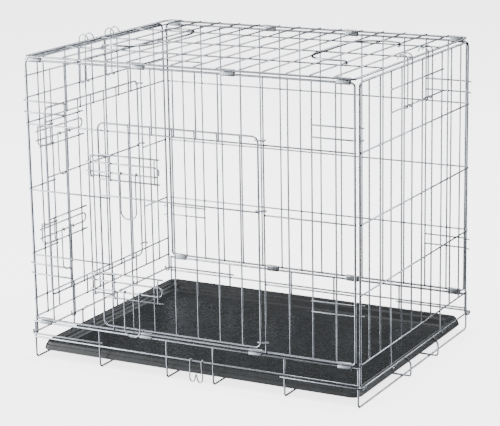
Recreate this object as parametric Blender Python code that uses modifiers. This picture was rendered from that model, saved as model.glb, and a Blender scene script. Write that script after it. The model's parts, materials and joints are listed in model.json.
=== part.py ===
"""Folding wire dog crate: welded wire panels, a wire basket base, two doors with slide
bolts, snap hooks over the top, carry handles and a moulded tray.

Axes: X runs along the long sides, the front long side faces -Y, +Z is up, and the
origin is on the floor under the middle of the base."""
import math

import bpy
import bmesh
from mathutils import Matrix, Vector

# ---------------------------------------------------------------- driving sizes, metres
HALF_LEN = 0.3070      # middle of the front, rear and top panels' end wires
HALF_WID = 0.2350      # middle plane of the front and rear panels
SIDE_FOOT = 0.0730     # the side panels' bottom wire: their hinge on the base
SIDE_HEAD = 0.5304     # the side panels' top wire: their hinge on the top panel
COLUMNS = 14           # upright wires between a long panel's two end wires
END_COLUMNS = 10
MESH_R = 0.0014        # radius of the mesh wire
FRAME_R = 0.0019       # radius of the panel frames
BASE_R = 0.0016        # radius of the basket's wires and the doors' frames
LAYER = 2 * MESH_R - 0.0006   # crossing wires are pressed this close, middle to middle
RAIL_GAP = 0.0060      # between the two wires that share a hinge clip
CORNER_R = 0.0060      # bend of a panel frame's corners

# long horizontal wires of every upright panel, and the short ones that stiffen its corners
ROWS = tuple(SIDE_FOOT + k * 0.25273 * (SIDE_HEAD - SIDE_FOOT) for k in (1, 2, 3))
PAIRS = (SIDE_FOOT + 0.081, SIDE_FOOT + 0.099, SIDE_HEAD - 0.0904, SIDE_HEAD - 0.0708)
PITCH = 2 * (HALF_LEN - 0.034) / (COLUMNS - 1)     # spacing of the upright wires

END_X = HALF_LEN + 0.0055     # plane of the end panels' frames and uprights
END_HALF = HALF_WID - 0.0065  # half the width of an end panel
END_HEAD = SIDE_HEAD + 0.0006
END_PITCH = 2 * (END_HALF - 0.035) / (END_COLUMNS - 1)
END_HINGE_X = END_X + 0.0041  # end rails of the basket, which the end panels hook on
RIGHT_HINGE_Z = 0.0350
LEFT_HINGE_Z = 0.0450  # higher, so that this end lies on the other one when folded
END_FOOT = SIDE_FOOT   # bottom horizontal of an end panel
UPPER_ROWS = (SIDE_HEAD - 0.0669, SIDE_HEAD - 0.0294)

# cross wires of the basket, its lengthwise wires and the rail between floor and hinge
FLOOR_X = (-HALF_LEN - 0.0046, -0.583 * HALF_LEN, -0.1466 * HALF_LEN,
           0.1466 * HALF_LEN, 0.583 * HALF_LEN, HALF_LEN + 0.0046)
FLOOR_Y = (-0.2553 * HALF_WID, 0.2553 * HALF_WID)
MID_RAIL_Z = 0.0394
FOOT_REACH = 0.0092    # the lengthwise wires turn down this far outside the end rails
LOOP_RETURN = 0.56 * HALF_LEN  # how far the end rails come back along the long sides

DOOR_OVERLAP = 0.016   # a door covers its doorway's edge by this much
DOOR_TOP = ROWS[-1] + 0.0142
DOOR_ROW = ROWS[1] + 0.0054   # a door's own horizontal wire
FRONT_LATCHES = (0.153, DOOR_TOP - 0.075)
LEFT_LATCHES = (0.212, DOOR_TOP - 0.046)
LEFT_SILL = 0.106
HINGE_SETBACK = 0.008  # from the hinge wire to the door's own frame
DOOR_GAP = 0.0004      # between the doorway's edge wires and a closed door's frame
DOOR_INSET = 0.0018    # a door's uprights are welded behind the middle of its frame
CURL_WIRE = 0.0013
CURL_GAP = 0.0007      # play of a door's curls on the hinge wire
CURL_R = MESH_R + CURL_GAP + CURL_WIRE
BOLT_R = 0.0014
EYE_WIRE = 0.0012      # radius of the wire of staples, pulls and hook eyes
PIN_GAP = 0.00035      # play of an eye on its wire
SLIDE_GAP = 0.0003     # play of a slide bolt under its staples
EYE_R = BOLT_R + PIN_GAP + EYE_WIRE
BOLT_OUT = MESH_R + SLIDE_GAP + EYE_R + EYE_WIRE - DOOR_INSET   # door frame to bolt
STAPLE_OUT = BOLT_R + SLIDE_GAP + EYE_WIRE                      # bolt to staple
LATCH_HALF = 0.021     # half the height of a latch's two guide wires
KEEPER_HALF = 0.017
ARM_HALF = 0.008       # half the distance between a bolt's two arms

TRAY_HALF = (HALF_LEN + 0.0005, HALF_WID - 0.0085)
TRAY_FOOT, TRAY_RIM = 0.0062, 0.0284
TRAY_SKIRT = 0.0134    # lower edge of the skirt, which hangs clear of the basket's floor
TRAY_WALL = 0.0020

CLIP_X = (-HALF_LEN + 0.019, -2 * PITCH, 2 * PITCH, HALF_LEN - 0.019)
CLIP_X_FRONT_BASE = (-HALF_LEN + 0.019, -2 * PITCH, 3 * PITCH, HALF_LEN - 0.019)
CLIP_LEN = 0.024
CLIP_SHEET = 0.0008
CLIP_CLEAR = 0.00035

HOOK_Y = 0.043         # middle of each snap hook
HOOK_HALF = 0.0095
HOOK_WIRE = 0.0012
CARRY_X = 5.5 * PITCH  # cross wire that a carry handle turns on
CARRY_HALF = 0.108
CARRY_DEPTH = 0.078
CARRY_WIRE = 0.0018

# the latches stand out at the front: this puts the origin under the true middle
CENTRE = Vector((0.0, 0.0048, 0.0))

TOP_RAIL = SIDE_HEAD + RAIL_GAP
TOP_CROSS = TOP_RAIL + LAYER
BASE_RAIL = SIDE_FOOT - RAIL_GAP


# ---------------------------------------------------------------- scene and materials
def clear_scene():
    for ob in list(bpy.data.objects):
        bpy.data.objects.remove(ob, do_unlink=True)


def make_collection(name):
    col = bpy.data.collections.new(name)
    bpy.context.scene.collection.children.link(col)
    return col


def principled(name, colour, roughness, metallic):
    mat = bpy.data.materials.new(name)
    mat.use_nodes = True
    bsdf = mat.node_tree.nodes["Principled BSDF"]
    bsdf.inputs["Base Color"].default_value = (*colour, 1.0)
    bsdf.inputs["Roughness"].default_value = roughness
    bsdf.inputs["Metallic"].default_value = metallic
    mat.diffuse_color = (*colour, 1.0)
    return mat


clear_scene()
PARTS = make_collection("wire_dog_crate")
ZINC = principled("zinc_plated_wire", (0.72, 0.74, 0.75), 0.30, 1.0)
SPRING = principled("bright_spring_wire", (0.66, 0.68, 0.70), 0.24, 1.0)
SHEET = principled("galvanised_sheet", (0.62, 0.64, 0.65), 0.38, 1.0)
PLASTIC = principled("black_moulded_plastic", (0.028, 0.030, 0.033), 0.42, 0.0)


# ---------------------------------------------------------------- wire building blocks
def arc(centre, radius, start, end, steps):
    """Points round a circle in a plane, from one angle to the other in degrees."""
    out = []
    for i in range(steps + 1):
        a = math.radians(start + (end - start) * i / steps)
        out.append((centre[0] + radius * math.cos(a), centre[1] + radius * math.sin(a)))
    return out


def rounded_loop(low, high, radius, steps=2):
    """A rounded rectangle in a plane, given by its two opposite corners."""
    (a0, b0), (a1, b1) = low, high
    r = radius
    return (arc((a1 - r, b1 - r), r, 0, 90, steps) + arc((a0 + r, b1 - r), r, 90, 180, steps)
            + arc((a0 + r, b0 + r), r, 180, 270, steps)
            + arc((a1 - r, b0 + r), r, 270, 360, steps))


def wires(paths, radius, cyclic=False, resolution=1):
    """Round wires along poly-lines, as one mesh object with closed ends."""
    data = bpy.data.curves.new("wire", "CURVE")
    data.dimensions = "3D"
    data.bevel_depth = radius
    data.bevel_resolution = resolution
    data.use_fill_caps = True
    for path in paths:
        spline = data.splines.new("POLY")
        spline.points.add(len(path) - 1)
        for point, co in zip(spline.points, path):
            point.co = (*co, 1.0)
        spline.use_cyclic_u = cyclic
    curve = bpy.data.objects.new("wire", data)
    bpy.context.scene.collection.objects.link(curve)
    bpy.context.view_layer.update()
    graph = bpy.context.evaluated_depsgraph_get()
    mesh = bpy.data.meshes.new_from_object(curve.evaluated_get(graph))
    solid = bpy.data.objects.new("wire_mesh", mesh)
    solid.matrix_world = curve.matrix_world.copy()
    bpy.data.objects.remove(curve, do_unlink=True)
    bm = bmesh.new()
    bm.from_mesh(mesh)
    bmesh.ops.remove_doubles(bm, verts=bm.verts, dist=1e-6)
    bmesh.ops.recalc_face_normals(bm, faces=bm.faces)
    bm.to_mesh(mesh)
    bm.free()
    bpy.context.scene.collection.objects.link(solid)
    return solid


def joined(pieces):
    """One mesh object that holds the meshes of several."""
    bm = bmesh.new()
    for ob in pieces:
        bm.from_mesh(ob.data)
    mesh = bpy.data.meshes.new("joined")
    bm.to_mesh(mesh)
    bm.free()
    for ob in pieces:
        bpy.data.objects.remove(ob, do_unlink=True)
    out = bpy.data.objects.new("joined", mesh)
    bpy.context.scene.collection.objects.link(out)
    return out


def welded(pieces, crossing):
    """The Boolean union of wires that cross, as resistance welds join them."""
    host, tool = joined(pieces), joined(crossing)
    mod = host.modifiers.new("weld", "BOOLEAN")
    mod.operation = "UNION"
    mod.solver = "EXACT"
    mod.use_self = True
    mod.object = tool
    bpy.context.view_layer.update()
    graph = bpy.context.evaluated_depsgraph_get()
    mesh = bpy.data.meshes.new_from_object(host.evaluated_get(graph))
    bpy.data.objects.remove(host, do_unlink=True)
    bpy.data.objects.remove(tool, do_unlink=True)
    out = bpy.data.objects.new("welded", mesh)
    bpy.context.scene.collection.objects.link(out)
    return out


def finish(ob, name, material, origin, angle=50):
    """Name a solid, put its origin on its joint's axis and file it with the parts."""
    mesh = ob.data
    mesh.transform(Matrix.Translation(-Vector(origin)))
    ob.location = Vector(origin) + CENTRE
    ob.name = mesh.name = name
    mesh.materials.clear()
    mesh.materials.append(material)
    mesh.shade_smooth()
    mesh.set_sharp_from_angle(angle=math.radians(angle))
    for col in list(ob.users_collection):
        col.objects.unlink(ob)
    PARTS.objects.link(ob)
    return ob


# ---------------------------------------------------------------- planes of the panels
def front(u, w, z):
    """A point of the front side: u along it, w out from the crate's middle."""
    return (u, -w, z)


def rear(u, w, z):
    return (u, w, z)


def left_end(u, w, z):
    return (-w, u, z)


def right_end(u, w, z):
    return (w, u, z)


def across(side, w, z, u0, u1):
    """A straight horizontal wire of a panel."""
    return [side(u0, w, z), side(u1, w, z)]


def upright(side, u, w, z0, z1):
    return [side(u, w, z0), side(u, w, z1)]


def columns(pitch, count):
    return [(i - (count - 1) / 2) * pitch for i in range(count)]


# ---------------------------------------------------------------- keepers and latches
def door_plane(w_edge):
    """Middle of a closed door's frame, in front of the doorway's edge wires."""
    return w_edge + MESH_R + DOOR_GAP + BASE_R


def staple(side, u, w_root, w_bolt, z, reach):
    """A bridge of wire that stands over a slide bolt's two arms."""
    outer = w_bolt + STAPLE_OUT
    return [side(u, w_root - 0.0004, z + reach), side(u, outer - 0.0020, z + reach),
            side(u, outer, z + reach - 0.003), side(u, outer, z - reach + 0.003),
            side(u, outer - 0.0020, z - reach), side(u, w_root - 0.0004, z - reach)]


def keeper(side, w_panel, w_edge, u_edge, pitch, z):
    """The staple on the panel that a bolt's two tips go behind, and its two short wires."""
    w_bolt = door_plane(w_edge) + BOLT_OUT
    bars = [across(side, w_panel, z + s * KEEPER_HALF, u_edge - pitch - 0.0004, u_edge + 0.0005)
            for s in (-1, 1)]
    return staple(side, u_edge - 0.029, w_panel, w_bolt, z, KEEPER_HALF), bars


def door(name, side, pitch, edge, w_edge, z_foot, z_curl, latch_z):
    """A wire door whose curls turn on the doorway's edge wire at u = edge."""
    w = door_plane(w_edge)
    w_up, w_bar = w - DOOR_INSET, w - DOOR_INSET + LAYER
    u0, u1 = -edge - DOOR_OVERLAP, edge - HINGE_SETBACK
    loop = [side(u, w, z) for u, z in rounded_loop((u0, z_foot), (u1, DOOR_TOP), 0.010)]
    frame = wires([loop], BASE_R, cyclic=True)
    uprights = [upright(side, u, w_up, z_foot, DOOR_TOP) for u in columns(pitch, 6)]
    bars = [across(side, w_bar, DOOR_ROW, u0, u1)]
    staples = []
    for z in latch_z:
        for s in (-1, 1):
            bars.append(across(side, w_bar, z + s * LATCH_HALF, u0, -0.045))
        for u in (-edge + 0.010, -0.051):
            staples.append(staple(side, u, w_bar, w + BOLT_OUT, z, LATCH_HALF))
    curls = []
    for z in (z_curl, DOOR_ROW + 0.0024, DOOR_TOP - 0.0060):
        ring = arc((edge, w_edge), CURL_R, 90, -150, 6)
        curls.append([side(u1 - 0.006, w_edge + CURL_R, z)] + [side(a, b, z) for a, b in ring])
    solid = welded([frame, wires(bars, MESH_R), wires(staples, EYE_WIRE)],
                   [wires(uprights, MESH_R), wires(curls, CURL_WIRE)])
    return finish(solid, name, ZINC, side(edge, w_edge, 0.25)), w


def slide_bolt(name, side, edge, w_door, z):
    """A wire bent into a U on its side: both arms are bolts."""
    w = w_door + BOLT_OUT
    tip = -edge - 0.040
    path = ([(tip, z + ARM_HALF)] + arc((-0.052, z), ARM_HALF, 90, -90, 6)
            + [(tip, z - ARM_HALF)])
    solid = wires([[side(u, w, h) for u, h in path]], BOLT_R)
    return finish(solid, name, SPRING, side(-0.10, w, z))


def pull_handle(name, side, w_door, z):
    """A U of wire that hangs from the bolt's lower arm by an open eye on each leg."""
    w, arm = w_door + BOLT_OUT, z - ARM_HALF
    eye = arc((w, arm), EYE_R, 225, 0, 5)
    foot = z - 0.084
    u0, u1, r = -0.118, -0.088, 0.013
    bend = arc((u0 + r, foot + r), r, 180, 270, 3) + arc((u1 - r, foot + r), r, 270, 360, 3)
    path = [side(u0, b, h) for b, h in eye]
    path += [side(u, w + EYE_R, h) for u, h in bend]
    path += [side(u1, b, h) for b, h in reversed(eye)]
    return finish(wires([path], EYE_WIRE), name, SPRING, side(-0.103, w, arm))


# ---------------------------------------------------------------- long side panels
def side_panel(name, side, doorway):
    """A front or rear panel: frame, uprights, rows and the short corner wires."""
    w = HALF_WID
    half = columns(PITCH, COLUMNS)
    edge = 3.5 * PITCH
    loop = [side(u, w, z) for u, z in
            rounded_loop((-HALF_LEN, SIDE_FOOT), (HALF_LEN, SIDE_HEAD), CORNER_R)]
    frame = wires([loop], FRAME_R, cyclic=True)
    bars, uprights, extra = [], [], []
    for z in ROWS:
        if doorway and z < ROWS[-1]:
            bars.append(across(side, w, z, -HALF_LEN, -edge + 0.0006))
            bars.append(across(side, w, z, edge - 0.0006, HALF_LEN))
        else:
            bars.append(across(side, w, z, -HALF_LEN, HALF_LEN))
    for z in PAIRS:
        for s in (-1, 1):
            bars.append(across(side, w, z, s * (5.5 * PITCH - 0.0006), s * HALF_LEN))
    for u in half:
        if doorway and abs(abs(u) - edge) < 0.001:
            extra.append(upright(side, u, w + LAYER, SIDE_FOOT + 0.0006, SIDE_HEAD - 0.0006))
        elif doorway and abs(u) < edge:
            uprights.append(upright(side, u, w - LAYER, ROWS[-1] - 0.001, SIDE_HEAD - 0.0006))
        else:
            uprights.append(upright(side, u, w - LAYER, SIDE_FOOT + 0.0006,
                                    SIDE_HEAD - 0.0006))
    crossing = [wires(uprights + extra, MESH_R)]
    solids = [frame]
    if doorway:
        staples = []
        for z in doorway:
            bridge, rods = keeper(side, w, w + LAYER, -edge, PITCH, z)
            staples.append(bridge)
            bars += rods
        crossing.append(wires(staples, EYE_WIRE))
    solids.append(wires(bars, MESH_R))
    return finish(welded(solids, crossing), name, ZINC, side(0, w, SIDE_FOOT))


# ---------------------------------------------------------------- top panel
def top_panel():
    loop = [(u, v, TOP_RAIL) for u, v in
            rounded_loop((-HALF_LEN, -HALF_WID), (HALF_LEN, HALF_WID), CORNER_R)]
    frame = wires([loop], FRAME_R, cyclic=True)
    along = [[(-HALF_LEN, y, TOP_RAIL), (HALF_LEN, y, TOP_RAIL)] for y in (-0.1175, 0, 0.1175)]
    cross = [[(x, -HALF_WID - 0.0012, TOP_CROSS), (x, HALF_WID + 0.0012, TOP_CROSS)]
             for x in columns(PITCH, COLUMNS)]
    solid = welded([frame, wires(along, MESH_R)], [wires(cross, MESH_R)])
    return finish(solid, "top_panel", ZINC, (0, HALF_WID, SIDE_HEAD))


def carry_handle(name, sign):
    """A wide U of thick wire that lies on the top and turns on one of its cross wires."""
    reach = MESH_R + 0.0004 + CARRY_WIRE
    flat = TOP_CROSS + MESH_R + 0.0006 + CARRY_WIRE
    eye = [(CARRY_X + reach * math.cos(math.radians(a)), TOP_CROSS + reach * math.sin(math.radians(a)))
           for a in (250, 300, 350, 35, 80)]
    flat = max(flat, TOP_CROSS + reach)
    near = [(CARRY_X - 0.012, CARRY_HALF), (CARRY_X - 0.034, CARRY_HALF + 0.001),
            (CARRY_X - 0.056, CARRY_HALF - 0.006), (CARRY_X - 0.071, CARRY_HALF - 0.024),
            (CARRY_X - CARRY_DEPTH, CARRY_HALF - 0.050)]
    path = [(x, CARRY_HALF, z) for x, z in eye] + [(x, y, flat) for x, y in near]
    path += [(x, -y, z) for x, y, z in reversed(path)]
    path = [(sign * x, y, z) for x, y, z in path]
    return finish(wires([path], CARRY_WIRE), name, SPRING, (sign * CARRY_X, 0, TOP_CROSS))


# ---------------------------------------------------------------- end panels
def end_hook(side, u, hinge_z, wire_r):
    """The lower end of an upright, curled under and round the basket's end rail."""
    r = END_HINGE_X - END_X
    ring = arc((END_HINGE_X, hinge_z), r, 180, 360, 6)
    return [side(u, x, z) for x, z in ring] + [side(u, END_HINGE_X + r, hinge_z + 0.004)]


def end_panel(name, side, hinge_z, doorway):
    w = END_X
    half = columns(END_PITCH, END_COLUMNS)
    edge = 3.5 * END_PITCH
    corner = 0.010
    top = arc((END_HALF - corner, END_HEAD - corner), corner, 0, 90, 3)
    right = [side(u, w, z) for u, z in top]
    hook = end_hook(side, END_HALF, hinge_z, FRAME_R)
    path = list(reversed(hook)) + right
    mirror = [side(-u, w, z) for u, z in reversed(top)]
    other = end_hook(side, -END_HALF, hinge_z, FRAME_R)
    frame = wires([path + mirror + other], FRAME_R)
    uprights, edges, hooks, bars = [], [], [], []
    for u in half:
        if doorway and abs(abs(u) - edge) < 0.001:
            edges.append(upright(side, u, w + 2 * LAYER, END_FOOT - 0.001, UPPER_ROWS[1] + 0.001))
        elif abs(abs(u) - 2.5 * END_PITCH) < 0.001:
            top_z = END_HEAD if not doorway else doorway[0] + 0.001
            ring = end_hook(side, u, hinge_z, MESH_R)
            hooks.append([side(u, w, top_z)] + ring)
            if doorway:
                uprights.append(upright(side, u, w, ROWS[-1] - 0.001, END_HEAD))
        elif doorway and abs(u) < edge:
            uprights.append(upright(side, u, w, ROWS[-1] - 0.001, END_HEAD))
            uprights.append(upright(side, u, w, END_FOOT - 0.001, doorway[0] + 0.001))
        else:
            uprights.append(upright(side, u, w, END_FOOT - 0.001, END_HEAD))
    rows, full = (END_FOOT,) + ROWS, END_HALF + 0.0009
    for z in rows:
        if doorway and doorway[0] < z < ROWS[-1]:
            bars.append(across(side, w + LAYER, z, -full, -edge + 0.0006))
            bars.append(across(side, w + LAYER, z, edge - 0.0006, full))
        else:
            bars.append(across(side, w + LAYER, z, -full, full))
    if doorway:
        bars.append(across(side, w + LAYER, doorway[0], -full, full))
    reach = full if doorway else 2.5 * END_PITCH + 0.002
    for z in UPPER_ROWS:
        bars.append(across(side, w + LAYER, z, -reach, reach))
    catches = []
    for z in PAIRS:
        for s in (-1, 1):
            catches.append([side(s * (END_HALF + u), END_X + x, z) for u, x in
                            ((0, -0.0005), (0.0011, 0.0030), (0.0006, 0.0057),
                             (-0.0016, 0.0066))])
    solids = [frame, wires(bars, MESH_R)]
    crossing = [wires(uprights + edges + hooks, MESH_R), wires(catches, EYE_WIRE)]
    if doorway:
        staples, rods = [], []
        for z in doorway[1:]:
            bridge, pair = keeper(side, w + LAYER, w + 2 * LAYER, -edge, END_PITCH, z)
            staples.append(bridge)
            rods += pair
        crossing.append(wires(staples, EYE_WIRE))
        solids.append(wires(rods, MESH_R))
    return finish(welded(solids, crossing), name, ZINC, side(0, END_HINGE_X, hinge_z))


def snap_hook(name, side, y):
    """A springy U round an end panel's lower short wire, curled over the top's end wire."""
    wire_x, wire_z = END_X + LAYER, UPPER_ROWS[0]
    wrap = MESH_R + 0.0004 + HOOK_WIRE
    leg_x = wire_x + wrap
    over = arc((leg_x - 0.0092, SIDE_HEAD + 0.0091), 0.0092, 174, 0, 6)
    under = arc((wire_x, wire_z), wrap, 0, -180, 4)
    path = [side(y - HOOK_HALF, x, z) for x, z in over + under]
    path += [side(y + HOOK_HALF, x, z) for x, z in reversed(over + under)]
    return finish(wires([path], HOOK_WIRE), name, SPRING, side(y, wire_x, wire_z))


# ---------------------------------------------------------------- basket base
def end_rail(sign, z):
    """The rail round one end, coming back along both long sides."""
    w = HALF_WID + 2 * BASE_R - 0.0006
    r = 0.008
    near = [(LOOP_RETURN, -w)] + arc((END_HINGE_X - r, -w + r), r, 270, 360, 4)
    path = near + [(x, -y) for x, y in reversed(near)]
    return [(sign * x, y, z) for x, y in path]


def base_basket():
    w, r = HALF_WID, 0.006
    cross = []
    for x in FLOOR_X:
        half = [(w, BASE_RAIL)] + arc((w - r, BASE_R + r), r, 0, -90, 3)
        cross.append([(x, a, z) for a, z in half] + [(x, -a, z) for a, z in reversed(half)])
    along = []
    floor_z = BASE_R + 2 * BASE_R - 0.0006
    out = END_HINGE_X + 2 * BASE_R - 0.0005
    for y in FLOOR_Y:
        ends = []
        for s, top in ((-1, LEFT_HINGE_Z), (1, RIGHT_HINGE_Z)):
            foot = out + FOOT_REACH
            bend = [(out, top)] + arc((foot - r, floor_z + r), r, 0, -90, 3)
            ends.append([(s * x, y, z) for x, z in bend])
        along.append(ends[0] + list(reversed(ends[1])))
    rails = [[(-FLOOR_X[-1], s * w, BASE_RAIL), (FLOOR_X[-1], s * w, BASE_RAIL)] for s in (-1, 1)]
    mid_w = w + 2 * BASE_R - 0.0006
    mids = [[(-FLOOR_X[-1] - 0.001, s * mid_w, MID_RAIL_Z), (FLOOR_X[-1] + 0.001, s * mid_w, MID_RAIL_Z)]
            for s in (-1, 1)]
    loops = [end_rail(1, RIGHT_HINGE_Z), end_rail(-1, LEFT_HINGE_Z)]
    solid = welded([wires(cross, BASE_R)],
                   [wires(rails, FRAME_R), wires(along + mids + loops, BASE_R)])
    return finish(solid, "base_basket", ZINC, (0, 0, 0))


def transit_clip():
    """A W of wire that hangs from the front middle rail and ties the folded crate shut."""
    y, z = -(HALF_WID + 2 * BASE_R - 0.0006), MID_RAIL_Z
    wrap = BASE_R + 0.0004 + EYE_WIRE
    eye = [(y + wrap * math.cos(math.radians(a)), z + wrap * math.sin(math.radians(a)))
           for a in (-40, 0, 45, 90, 135, 180)]
    hang = y - wrap
    left = [(0.004, a, b) for a, b in eye]
    right = [(0.026, a, b) for a, b in reversed(eye)]
    middle = [(0.0025, hang, 0.012), (0.004, hang, 0.0060), (0.0085, hang, 0.0038),
              (0.0120, hang, 0.0075), (0.0150, hang, 0.0170), (0.0180, hang, 0.0075),
              (0.0215, hang, 0.0038), (0.026, hang, 0.0060), (0.0275, hang, 0.012)]
    return finish(wires([left + middle + right], EYE_WIRE), "transit_clip", SPRING, (0.015, y, z))


def hinge_clip(name, x, y, z_low, slot):
    """A strip of sheet rolled round two parallel wires, with its seam on one side."""
    r = FRAME_R + CLIP_CLEAR + CLIP_SHEET / 2
    side = 1 if y > 0 else -1
    ring = (arc((0, RAIL_GAP), r, slot, 180, 4) + arc((0, 0), r, 180, 360, 4)
            + [(r, RAIL_GAP * 0.55)])
    data = bpy.data.curves.new("strip", "CURVE")
    data.dimensions = "2D"
    data.fill_mode = "NONE"
    data.extrude = CLIP_LEN / 2
    spline = data.splines.new("POLY")
    spline.points.add(len(ring) - 1)
    for point, (a, b) in zip(spline.points, ring):
        point.co = (a, b, 0.0, 1.0)
    curve = bpy.data.objects.new("strip", data)
    bpy.context.scene.collection.objects.link(curve)
    bpy.context.view_layer.update()
    graph = bpy.context.evaluated_depsgraph_get()
    mesh = bpy.data.meshes.new_from_object(curve.evaluated_get(graph))
    bpy.data.objects.remove(curve, do_unlink=True)
    turn = Matrix(((0, 0, 1), (side, 0, 0), (0, 1, 0))).to_4x4()
    mesh.transform(Matrix.Translation((x, y, z_low)) @ turn)
    if turn.determinant() < 0:
        mesh.flip_normals()
    solid = bpy.data.objects.new(name, mesh)
    bpy.context.scene.collection.objects.link(solid)
    skin = solid.modifiers.new("sheet", "SOLIDIFY")
    skin.thickness = CLIP_SHEET
    skin.offset = 0.0
    skin.use_even_offset = True
    return finish(solid, name, SHEET, (x, y, z_low))


# ---------------------------------------------------------------- tray
def tray():
    """A thermoformed tray: flat floor, sloping inner wall, ridge and stepped skirt."""
    lx, ly = TRAY_HALF
    top = TRAY_RIM
    profile = ((0.034, TRAY_FOOT + TRAY_WALL), (0.022, TRAY_FOOT + TRAY_WALL + 0.001),
               (0.017, top - 0.0075), (0.0125, top - 0.0065), (0.0100, top), (0.0050, top),
               (0.0035, top - 0.0060), (0.0020, top - 0.0070), (0.0, TRAY_SKIRT))
    bm = bmesh.new()
    rings = []
    for inset, z in profile:
        loop = rounded_loop((-lx + inset, -ly + inset), (lx - inset, ly - inset),
                            max(0.030 - inset * 0.6, 0.008), 4)
        rings.append([bm.verts.new((x, y, z)) for x, y in loop])
    bm.faces.new(rings[0])
    count = len(rings[0])
    for inner, outer in zip(rings, rings[1:]):
        for i in range(count):
            j = (i + 1) % count
            bm.faces.new((inner[i], outer[i], outer[j], inner[j]))
    bmesh.ops.recalc_face_normals(bm, faces=bm.faces)
    mesh = bpy.data.meshes.new("tray")
    bm.to_mesh(mesh)
    bm.free()
    solid = bpy.data.objects.new("tray", mesh)
    bpy.context.scene.collection.objects.link(solid)
    skin = solid.modifiers.new("wall", "SOLIDIFY")
    skin.thickness = TRAY_WALL
    skin.offset = -1.0
    return finish(solid, "tray", PLASTIC, (0, 0, TRAY_FOOT), angle=35)


# ---------------------------------------------------------------- assembly
base_basket()
tray()
side_panel("rear_panel", rear, None)
side_panel("front_panel", front, FRONT_LATCHES)
top_panel()
end_panel("right_end_panel", right_end, RIGHT_HINGE_Z, None)
end_panel("left_end_panel", left_end, LEFT_HINGE_Z, (LEFT_SILL,) + LEFT_LATCHES)

_, front_door_w = door("front_door", front, PITCH, 3.5 * PITCH, HALF_WID + LAYER,
                       0.0810, 0.0900, FRONT_LATCHES)
_, side_door_w = door("side_door", left_end, END_PITCH, 3.5 * END_PITCH, END_X + 2 * LAYER,
                      0.0950, 0.1160, LEFT_LATCHES)
for tag, side, edge, w_door, heights in (
        ("front_door", front, 3.5 * PITCH, front_door_w, FRONT_LATCHES),
        ("side_door", left_end, 3.5 * END_PITCH, side_door_w, LEFT_LATCHES)):
    for level, z in zip(("lower", "upper"), heights):
        slide_bolt(f"{tag}_{level}_bolt", side, edge, w_door, z)
        pull_handle(f"{tag}_{level}_pull", side, w_door, z)

for tag, side in (("right", right_end), ("left", left_end)):
    for place, y in (("front", -HOOK_Y), ("rear", HOOK_Y)):
        snap_hook(f"{tag}_snap_hook_{place}", side, y)

carry_handle("carry_handle_right", 1)
carry_handle("carry_handle_left", -1)
transit_clip()

for n, (x, xf) in enumerate(zip(CLIP_X, CLIP_X_FRONT_BASE), 1):
    hinge_clip(f"base_clip_front_{n}", xf, -HALF_WID, BASE_RAIL, 20)
    hinge_clip(f"base_clip_rear_{n}", x, HALF_WID, BASE_RAIL, 20)
    hinge_clip(f"top_clip_front_{n}", x, -HALF_WID, SIDE_HEAD, 20)
    hinge_clip(f"top_clip_rear_{n}", x, HALF_WID, SIDE_HEAD, 20)

bpy.context.view_layer.update()
for ob in PARTS.objects:
    graph = bpy.context.evaluated_depsgraph_get()
    count = sum(len(p.vertices) - 2 for p in ob.evaluated_get(graph).data.polygons)
    print(f"{ob.name}: {count} triangles")
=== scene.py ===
# %% [markdown]
# # A folding wire dog crate
#
# The crate is five grilles of welded steel wire on a wire basket, with two doors, slide
# bolts, snap hooks, carry handles, rolled sheet hinges and a black moulded tray. This
# notebook dresses a finished CAD frame. Each piece here stands for the CAD piece of the
# same name and rides on the same moving body, so the crate can still be opened and folded.

# %% Load the frame
import json
import math

import bpy
import numpy as np
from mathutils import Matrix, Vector


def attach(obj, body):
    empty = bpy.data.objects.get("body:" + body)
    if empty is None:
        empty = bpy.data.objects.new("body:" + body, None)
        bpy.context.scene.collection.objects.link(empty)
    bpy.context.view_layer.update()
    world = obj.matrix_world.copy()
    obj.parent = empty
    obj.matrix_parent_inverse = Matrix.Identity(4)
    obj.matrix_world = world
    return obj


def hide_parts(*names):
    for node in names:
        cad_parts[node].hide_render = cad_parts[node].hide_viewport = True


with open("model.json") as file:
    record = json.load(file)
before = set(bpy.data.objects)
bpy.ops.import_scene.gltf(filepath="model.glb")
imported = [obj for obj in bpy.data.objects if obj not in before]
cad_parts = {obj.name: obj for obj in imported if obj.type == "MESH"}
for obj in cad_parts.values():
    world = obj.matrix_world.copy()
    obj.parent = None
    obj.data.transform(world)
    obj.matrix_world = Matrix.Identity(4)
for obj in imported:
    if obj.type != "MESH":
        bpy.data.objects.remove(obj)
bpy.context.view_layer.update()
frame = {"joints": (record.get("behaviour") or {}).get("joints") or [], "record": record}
record = frame["record"]
BODY_OF = {node: body for body, nodes in record["behaviour"]["bodies"].items() for node in nodes}
SLOT_OF = {part["node"]: part["material_slot"] for part in record["subparts"]}

# %% [markdown]
# ## Sizes
#
# The hinges of the frame already say how large the crate is. Reading the main sizes from
# them, and the rest from the way such crates are made, keeps the looks on the CAD model
# without any fitting by eye. Lengths are in metres. Everything is worked out round the
# crate's own middle, and moved by CENTRE when a mesh is made.

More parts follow.
